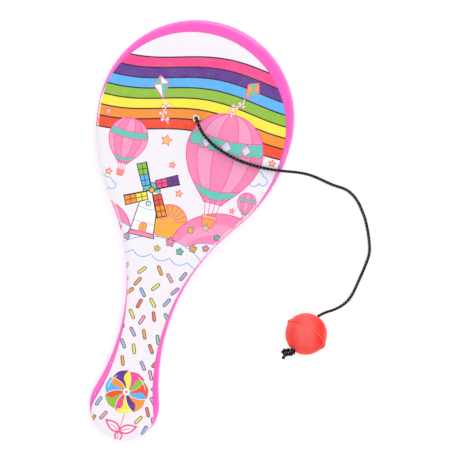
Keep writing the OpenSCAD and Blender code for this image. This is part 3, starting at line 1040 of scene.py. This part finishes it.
def punchedAt():
    # where the cord's hole comes to lie on the flat label
    turn, endY = labelShape["turn"], outlineFacts[4]
    back = Vector((labelShape["left"], endY + labelShape["down"]))
    return Vector((math.cos(turn) * back.x + math.sin(turn) * back.y,
                   -math.sin(turn) * back.x + math.cos(turn) * back.y - endY))


def bentRuns():
    # rows of points along the outline, kept only where the label bends round the edge
    for k in range(1, labelShape["foldRings"] + 1):
        ring, _ = outlineLoop(labelShape, labelShape["inset"] + labelShape["foldStep"] * k,
                              labelShape["foldDensity"])
        bent = [laidDown(p, 0)[1] > 0 for p in ring]
        run = []
        for i in range(len(ring) + 1):
            j = i % len(ring)
            near = bent[j] or bent[j - 1] or bent[(j + 1) % len(ring)]
            if near:
                run.append(ring[j])
            if not near or i == len(ring):
                if len(run) > 1:
                    yield run
                run = []


def printLabel():
    holeAt = punchedAt()
    punched = circle(holeAt, labelShape["punch"], 40)
    torn = []
    for a in [2 * math.pi * k / 60 for k in range(60)]:
        uneven = sum(size * math.sin(often * a + shift)
                     for size, often, shift in labelShape["torn"])
        torn.append(holeAt + (labelShape["punch"] + labelShape["tornWide"] + uneven) * unit(a))
    paint(torn, "white")
    points, edges = [], []
    shapes = [loop for loop, *_ in printed]
    for loop, closed in ([(labelRim, True), (punched, True)]
                         + [(run, False) for run in bentRuns()]
                         + [(loop, True) for loop in shapes]):
        first, count = len(points), len(loop)
        points.extend(p.to_2d() for p in loop)
        edges.extend((first + i, first + (i + 1) % count)
                     for i in range(count if closed else count - 1))
    flat, _, faces, *_ = delaunay_2d_cdt(points, edges, [], 0, 1e-5, False)
    boxes = [(min(p.x for p in loop), max(p.x for p in loop),
              min(p.y for p in loop), max(p.y for p in loop)) for loop in shapes]
    kept, tints = [], []
    for face in faces:
        corners = [flat[i] for i in face]
        x = sum(c.x for c in corners) / 3
        y = sum(c.y for c in corners) / 3
        if not insideLoop(labelRim, x, y) or insideLoop(punched, x, y):
            continue
        kept.append(face)
        # the shape painted last shows
        ink, fade = inks["paper"], None
        for k in range(len(printed) - 1, -1, -1):
            low, high, foot, top = boxes[k]
            if low <= x <= high and foot <= y <= top and insideLoop(shapes[k], x, y):
                _, ink, fade, way = printed[k]
                centre = Vector(((low + high) / 2, (foot + top) / 2))
                span = max(high - low, top - foot)
                break
        if fade:
            for c in corners:
                t = min(max(0.5 + (c - centre).dot(way) / span, 0), 1)
                tints.append([a + (b - a) * t for a, b in zip(ink, fade)])
        else:
            tints += [ink] * 3
    used = sorted({i for face in kept for i in face})
    index = {old: new for new, old in enumerate(used)}
    laid = [laidDown(flat[i], labelShape["lift"]) for i in used]
    piece = newPiece("printedLabel", [spot * mm for spot, _ in laid],
                     [[index[i] for i in face] for face in kept])
    mesh = piece.data
    tint = mesh.color_attributes.new("printInk", "FLOAT_COLOR", "CORNER")
    tint.data.foreach_set("color", [v for t in tints for v in t])
    fold = mesh.attributes.new("foldBend", "FLOAT", "POINT")
    fold.data.foreach_set("value", [bend for _, bend in laid])
    mesh.polygons.foreach_set("use_smooth", [True] * len(mesh.polygons))
    return piece


filmLook = {
    "thickness": 0.14 * mm,
    "smoothAngle": math.radians(35),
    "paper": (1, 1, 1, 1),
    "dotScale": 2600.0, "dotRange": (0.4, 0.75), "dotShare": 0.06,  # gaps between dots of ink
    "drift": (120.0, 0.03),     # scale and amount
    "paleWearAndHighlight": (0.95, 0.93, 0.95, 1),
    "foldHighlightBend": (0.48, 0.62, 0.78, 0.94),   # radians: where the painted highlight starts, is full and ends
    "foldHighlightScale": 420.0, "foldHighlightRange": (0.36, 0.5), "foldHighlightShare": (0.25, 0.9),
    "foldHighlightFrom": -0.12,          # only the fold along the head gets the painted highlight
    "foldHighlightFull": -0.05,
    "roughness": 0.34, "roughSpread": 0.12, "grainScale": 1500.0,
    "bumpDepth": 0.006 * mm, "bumpStrength": 0.5,
    "fixed": {"IOR": 1.46, "Specular IOR Level": 0.25},
}

label = printLabel()
print("label printed,", len(printed), "shapes,", len(label.data.polygons), "faces")
film = label.modifiers.new("film", "SOLIDIFY")
film.thickness = filmLook["thickness"]
film.offset = -1
pickOnly(label)
bpy.ops.object.modifier_apply(modifier=film.name)
bpy.ops.object.shade_smooth_by_angle(angle=filmLook["smoothAngle"])
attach(label, "paddle")
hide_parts("face_label")

material, tree, place = startMaterial("printedFilm")
dots = ranged(tree, noiseOf(tree, place, filmLook["dotScale"], 1.0),
              *filmLook["dotRange"], 0.0, filmLook["dotShare"])
paler = mixColours(tree, dots, storedValue(tree, "printInk", "Color"), filmLook["paper"])
drifted = drifting(tree, place, paler, filmLook["paper"], filmLook["drift"])
# a painted highlight along the crest of the fold, broken into patches, on the head only
bend = storedValue(tree, "foldBend")
starts, full, wanes, ends = filmLook["foldHighlightBend"]
crest = mathOf(tree, "MULTIPLY", ranged(tree, bend, starts, full), ranged(tree, bend, ends, wanes))
patches = ranged(tree, noiseOf(tree, place, filmLook["foldHighlightScale"], 5.0),
                 *filmLook["foldHighlightRange"], *filmLook["foldHighlightShare"])
onHead = ranged(tree, axisOf(tree, place, "Y"), filmLook["foldHighlightFrom"], filmLook["foldHighlightFull"])
foldHighlight = mathOf(tree, "MULTIPLY", mathOf(tree, "MULTIPLY", crest, patches), onHead)
foldHighlighted = mixColours(tree, foldHighlight, drifted, filmLook["paleWearAndHighlight"])
finish(label, material, place, foldHighlighted, filmLook)
print("label finished")


# the ball is a sphere with its bore, its mouths and the flash at its seam
ballLook = {
    "red": linear(255, 79, 73),
    "pale": linear(255, 118, 112),
    "deep": linear(255, 46, 38),
    "paleWearAndHighlight": linear(255, 176, 172),
    # the darker colour painted into the groove beside the ridge
    "crease": linear(232, 30, 26),
    "drift": (70.0, 0.75),      # scale and amount
    "deepDrift": (110.0, 0.35),
    "flankShadeShare": 0.84,           # how deep the painted shade on the flanks is in colour
    "ridgePale": (1.2, 0.45),   # the seam mark at which the ridge is palest, and how pale
    "grooveDarkening": (-1.0, 0.75),
    "roughness": 0.55, "roughSpread": 0.2, "grainScale": 1800.0,
    "bumpDepth": 0.04 * mm, "bumpStrength": 0.6,
    "fixed": {"Subsurface Weight": 0.15, "Subsurface Scale": 0.002, "IOR": 1.5,
              "Specular IOR Level": 0.14, "Sheen Weight": 0.35, "Sheen Roughness": 0.3,
              "Sheen Tint": linear(255, 196, 192)},
    "segments": 192,
    "rings": 96,
    "boreRadius": 0.9 * mm,
    "mouthWidth": 0.5 * mm,
    "mouthDepth": 0.6 * mm,
    "boreDepth": 7 * mm,
    "seamWidth": 1.5 * mm,
    "seamSegments": 10,
    "smoothAngle": math.radians(50),
}

startClean()
bpy.ops.mesh.primitive_uv_sphere_add(
    segments=ballLook["segments"], ring_count=ballLook["rings"], radius=ballPlace["radius"])
ball = bpy.context.object
ball.name = ball.data.name = "rubberBall"
bpy.ops.object.mode_set(mode="EDIT")
bpy.ops.mesh.select_mode(type="EDGE")
cage = bmesh.from_edit_mesh(ball.data)
for edge in cage.edges:
    edge.select_set(all(abs(v.co.z) < 1e-6 for v in edge.verts))
bmesh.update_edit_mesh(ball.data)
bpy.ops.mesh.bevel(offset=ballLook["seamWidth"] / 2, segments=ballLook["seamSegments"], profile=0.5)
bpy.ops.mesh.select_mode(type="FACE")
mouthRadius = ballLook["boreRadius"] + ballLook["mouthWidth"]
for end in (1, -1):
    bpy.ops.mesh.select_all(action="DESELECT")
    cage = bmesh.from_edit_mesh(ball.data)
    nearest = sorted({round(math.hypot(v.co.x, v.co.y), 7) for v in cage.verts
                      if v.co.z * end > 0})
    capRadius = nearest[2] + 1e-6       # the two rings nearest the pole
    for face in cage.faces:
        face.select_set(all(v.co.z * end > 0 and math.hypot(v.co.x, v.co.y) < capRadius
                            for v in face.verts))
    bpy.ops.mesh.delete(type="FACE")
    # the rim left behind is drawn in to the mouth, then down the bore
    for radius, level in (
        (mouthRadius, math.sqrt(ballPlace["radius"] ** 2 - mouthRadius ** 2)),
        (ballLook["boreRadius"], ballPlace["radius"] - ballLook["mouthDepth"]),
        (ballLook["boreRadius"], ballPlace["radius"] - ballLook["boreDepth"]),
    ):
        bpy.ops.mesh.select_mode(type="EDGE")
        cage = bmesh.from_edit_mesh(ball.data)
        for edge in cage.edges:
            edge.select_set(edge.is_boundary and edge.verts[0].co.z * end > 0)
        bmesh.update_edit_mesh(ball.data)
        bpy.ops.mesh.extrude_edges_move()
        cage = bmesh.from_edit_mesh(ball.data)
        for vert in cage.verts:
            if vert.select:
                now = math.hypot(vert.co.x, vert.co.y)
                vert.co = (vert.co.x * radius / now, vert.co.y * radius / now, end * level)
        bmesh.update_edit_mesh(ball.data)
    bpy.ops.mesh.select_mode(type="FACE")
bpy.ops.object.mode_set(mode="OBJECT")

# the flash stands out round the seam, unevenly, with a nub where the rubber was let in, a wedge
# opposite it and a crease beside the nub. Turns are in radians round the ball, and widths and
# places across the seam are shares of the flash's half width.
seam = {
    "height": 0.3 * mm,
    "waver": 0.06 * mm,         # how far the ridge strays to either side
    "ridgeWidth": 0.3,
    "grooveDepth": 0.07 * mm, "grooveAt": 0.85, "grooveWidth": 0.5,
    "nub": 0.75 * mm, "nubTurn": math.pi / 2, "nubReach": 0.2, "nubWidth": 2.7,
    "wedgeShare": 1.15, "wedgeTurn": -math.pi / 2, "wedgeReach": 0.13, "wedgeWidth": 2,
    "creaseDepth": 0.2 * mm, "creaseTurn": 0.27, "creaseReach": 0.055, "creaseWidth": 2.2,
    "halfStep": 0.12 * mm, "stepAt": 0.3, "stepWidth": 0.2,
}
# painted shade: the flanks along one way are deeper in colour, least at the far edge and on the
# side away
flankShade = {
    "way": Vector((0.97, 0.24, 0)), "from": 0.27, "reach": 0.4,
    "rimReach": 0.2, "rimShare": 0.25, "awayShare": 0.34,
}


def bell(value, width, power=2):
    return math.exp(-(value / width) ** power)


def limited(value, low=0.0):
    return min(max(value, low), 1)


seamMarks, flankShades = [], []
shadedWay = (ballMatrix.to_3x3().inverted() @ flankShade["way"]).normalized()
half = ballLook["seamWidth"] / 2
for vert in ball.data.vertices:
    x, y, z = vert.co
    flank = vert.co.normalized().dot(shadedWay)
    deep = limited((abs(flank) - flankShade["from"]) / flankShade["reach"])
    rim = limited((1.0 - flank) / flankShade["rimReach"], flankShade["rimShare"])
    flankShades.append(deep * rim if flank > 0 else flankShade["awayShare"] * deep)
    turn = math.atan2(y, x)
    mark = 0.0
    if math.hypot(x, y) > 0.5 * ballPlace["radius"]:
        side = math.sin(turn)
        ridge = (limited(0.5 + side, 0.15)
                 * bell(z - seam["waver"] * math.sin(9 * turn), seam["ridgeWidth"] * half))
        groove = abs(side) ** 1.3 * bell(z - seam["grooveAt"] * half, seam["grooveWidth"] * half)
        height = seam["height"] * (0.8 + 0.2 * math.sin(3 * turn) + 0.14 * math.sin(11 * turn))
        nub = (bell(turn - seam["nubTurn"], seam["nubReach"], 4)
               * bell(z, seam["nubWidth"] * half, 4))
        wedge = (bell(turn - seam["wedgeTurn"], seam["wedgeReach"])
                 * bell(z, seam["wedgeWidth"] * half))
        crease = (bell(turn - seam["nubTurn"] - seam["creaseTurn"], seam["creaseReach"])
                  * bell(z, seam["creaseWidth"] * half))
        step = seam["halfStep"] / (
            1 + math.exp(-(z - seam["stepAt"] * half) / (seam["stepWidth"] * half)))
        reach = (ridge * height - seam["grooveDepth"] * groove
                 + seam["nub"] * (nub + seam["wedgeShare"] * wedge)
                 - seam["creaseDepth"] * crease - step)
        vert.co *= 1 + reach / ballPlace["radius"]
        mark = ridge * (0.8 + 0.2 * math.sin(5 * turn + 1)) - groove + 1.2 * crease
    seamMarks.append(mark)
for name, values in (("seamMark", seamMarks), ("paintedFlankShade", flankShades)):
    ball.data.attributes.new(name, "FLOAT", "POINT").data.foreach_set("value", values)
ball.data.transform(ballMatrix)
ball.data.update()
pickOnly(ball)
bpy.ops.object.mode_set(mode="EDIT")
bpy.ops.mesh.select_all(action="SELECT")
bpy.ops.mesh.normals_make_consistent(inside=False)
bpy.ops.object.mode_set(mode="OBJECT")
bpy.ops.object.shade_smooth_by_angle(angle=ballLook["smoothAngle"])
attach(ball, "ball")
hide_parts("ball")

material, tree, place = startMaterial("coralRubber")
drifted = drifting(tree, place, ballLook["red"], ballLook["pale"], ballLook["drift"])
# painted shade deepens the colour of the flanks
paintedFlankShade = mathOf(tree, "MULTIPLY", storedValue(tree, "paintedFlankShade"), ballLook["flankShadeShare"])
flanks = mixColours(tree, paintedFlankShade, drifted, ballLook["deep"])
deeper = drifting(tree, place, flanks, ballLook["deep"], ballLook["deepDrift"])
mark = storedValue(tree, "seamMark")
paleAt, paleShare = ballLook["ridgePale"]
darkAt, darkShare = ballLook["grooveDarkening"]
paled = mixColours(tree, ranged(tree, mark, 0.0, paleAt, 0.0, paleShare), deeper, ballLook["paleWearAndHighlight"])
# the groove beside the ridge is painted darker
shaded = mixColours(tree, ranged(tree, mark, 0.0, darkAt, 0.0, darkShare), paled,
                    ballLook["crease"])
finish(ball, material, place, shaded, ballLook)
print("ball finished")


# the floor, the light of the backdrop, and the lamps
studio = {
    "floorSize": 12.0,
    "floorDrop": 0.05 * mm,     # so that it doesn't flicker through what lies on it
    "floorLook": {"Base Color": (0.9, 0.9, 0.9, 1), "Roughness": 0.6, "Specular IOR Level": 0.2},
    "cameraLift": 0.34,     # how much paler the table is where it is seen
    "ambient": 0.68,        # strength of the world's white light
    "lamps": [
        # place, size, watts: beyond the head and the handle, and smaller ones at the sides
        ((0.2, 1.2, 0.5), 0.8, 6.6),
        ((0.35, -1.2, 0.8), 0.8, 3.6),
        ((1.3, -0.25, 0.68), 0.4, 1.9),
        ((-1.25, 0.1, 0.68), 0.4, 2.9),
    ],
}


def seenRay(tree):
    # 1 for the rays that find the pale background: the camera's own, and those in gloss or glass
    path = addNode(tree, "ShaderNodeLightPath")
    seen = path.outputs["Is Camera Ray"]
    for ray in ("Is Glossy Ray", "Is Transmission Ray"):
        seen = mathOf(tree, "MAXIMUM", seen, path.outputs[ray])
    return seen


startClean()
bpy.ops.mesh.primitive_plane_add(size=studio["floorSize"], location=(0, 0, -studio["floorDrop"]))
floor = bpy.context.object
floor.name = "floor"
material, tree, _ = startMaterial("paleTable")
shader = tree.nodes["Principled BSDF"]
setConstants(shader, studio["floorLook"])
lift = mathOf(tree, "MULTIPLY", seenRay(tree), studio["cameraLift"])
glow = addNode(tree, "ShaderNodeEmission", {"Color": (1, 1, 1, 1), "Strength": lift})
both = addNode(tree, "ShaderNodeAddShader", {0: shader.outputs[0], 1: glow.outputs[0]})
tree.links.new(both.outputs[0], tree.nodes["Material Output"].inputs["Surface"])
wear(floor, material)

world = bpy.data.worlds.new("studio")
bpy.context.scene.world = world
world.use_nodes = True
tree = world.node_tree
sky = tree.nodes["Background"]
feed(tree, sky.inputs["Color"], (1, 1, 1, 1))
feed(tree, sky.inputs["Strength"], ranged(tree, seenRay(tree), 0.0, 1.0, studio["ambient"], 1.0))

for spot, size, watts in studio["lamps"]:
    startClean()
    bpy.ops.object.light_add(type="AREA", location=spot)
    lamp = bpy.context.object
    lamp.data.size = size
    lamp.data.energy = watts
    toward = Vector(shot["aim"]) - Vector(spot)
    lamp.rotation_euler = toward.to_track_quat("-Z", "Y").to_euler()

bpy.context.scene.view_settings.view_transform = "Standard"
print("studio ready")
